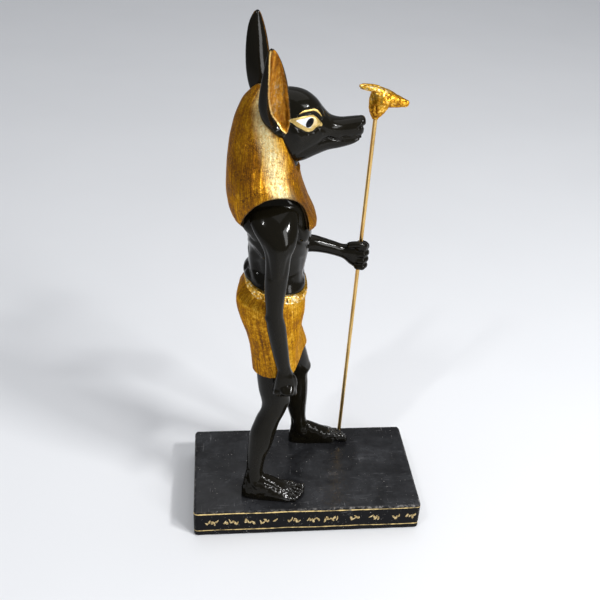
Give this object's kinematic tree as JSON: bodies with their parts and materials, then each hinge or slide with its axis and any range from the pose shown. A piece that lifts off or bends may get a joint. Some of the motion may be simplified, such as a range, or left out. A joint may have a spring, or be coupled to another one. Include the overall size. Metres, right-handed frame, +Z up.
{
  "type": "animal-headed figure statuette",
  "caption": "Standing ornament figure with a jackal's head and tall ears, in a wig and a wrapped kilt, that strides on a slab and holds a thin staff.",
  "frame": {"origin": "the middle of the plinth's underside", "axes": "+X is the way that the figure walks, along the plinth's long side; +Y is the figure's left, the side of the staff; +Z is up, from the soles to the ears"},
  "size_m": [0.1444, 0.077, 0.3093],
  "materials": {
    "black_slab": "satin black lacquer, lightly scratched, with painted gold lines and marks on its edge",
    "painted_casting": "high-gloss black lacquer with antique-gold wig, kilt, belt and ear linings washed in brown",
    "gilt_rod": "drawn rod with a dull gold finish",
    "gilt_casting": "antique-gold paint with brown in the recesses"
  },
  "bodies": {
    "root": {"plinth": "black_slab", "figure": "painted_casting", "staff_shaft": "gilt_rod", "staff_head": "gilt_casting"}
  },
  "joints": []
}
